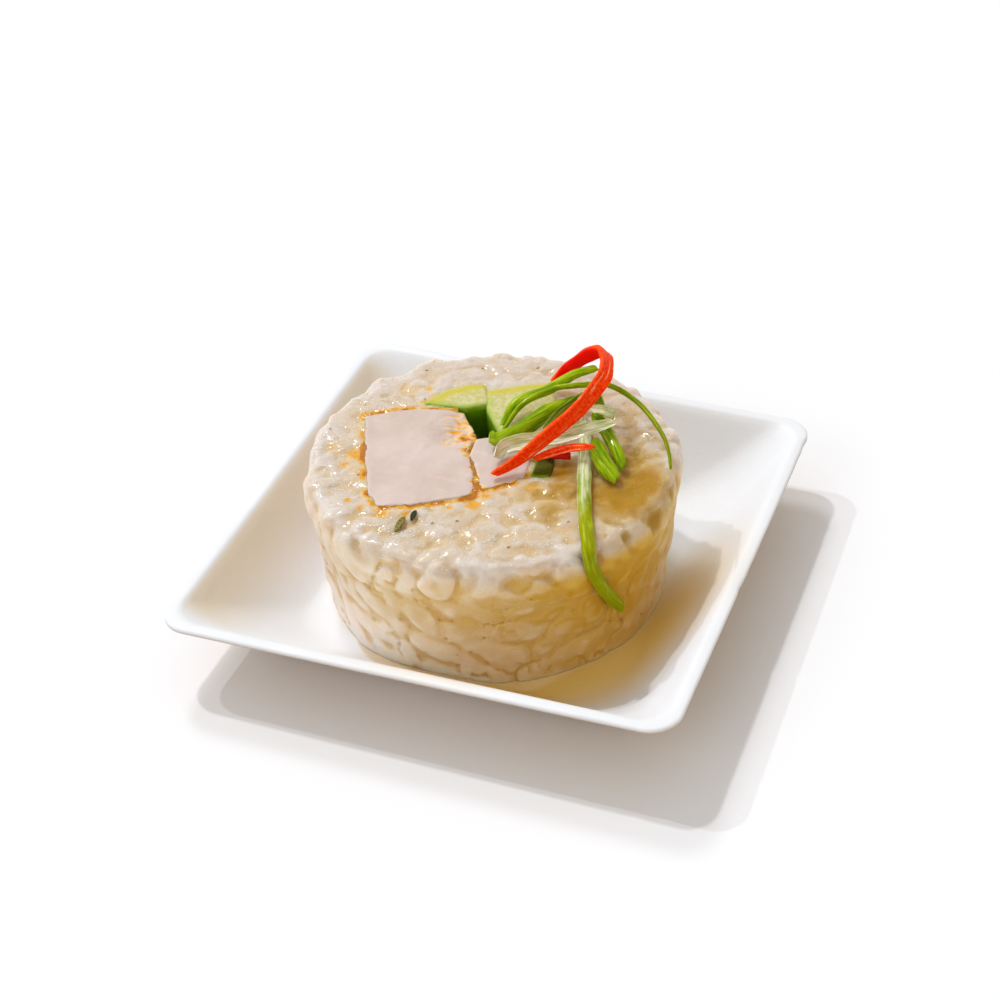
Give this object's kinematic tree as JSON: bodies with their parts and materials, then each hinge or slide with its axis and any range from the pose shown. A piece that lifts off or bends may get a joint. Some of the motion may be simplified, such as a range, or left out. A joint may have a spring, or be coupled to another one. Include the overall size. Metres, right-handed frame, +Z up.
{
  "type": "hainanese chicken rice",
  "caption": "Moulded disc of rice with chicken and cucumber running through it, topped with spring onion and chili curls, on a small square pulp plate.",
  "frame": {"origin": "middle of the plate's flat base", "axes": "+Z up, X and Y along the plate's sides, +Y away from the shown front"},
  "size_m": [0.08, 0.08, 0.0349],
  "materials": {
    "plate": "matte moulded pulp",
    "rice": "cooked rice, moist and sticky",
    "chicken": "poached chicken, cut face moist, edges browned",
    "cucumber": "cucumber flesh with a dark green skin, wet",
    "scallion": "spring onion leaf, glossy",
    "chili": "red chili skin, glossy"
  },
  "bodies": {
    "root": {"plate": "plate", "rice": "rice", "chicken_large": "chicken", "chicken_small": "chicken", "cucumber_left": "cucumber", "cucumber_right": "cucumber", "cucumber_front": "cucumber", "scallion_arc": "scallion", "scallion_upper": "scallion", "scallion_leaf": "scallion", "scallion_curl": "scallion", "scallion_pale": "scallion", "scallion_frill": "scallion", "scallion_right": "scallion", "scallion_short": "scallion", "scallion_long": "scallion", "chili_loop": "chili", "chili_short": "chili", "chili_stub": "chili"}
  },
  "joints": []
}
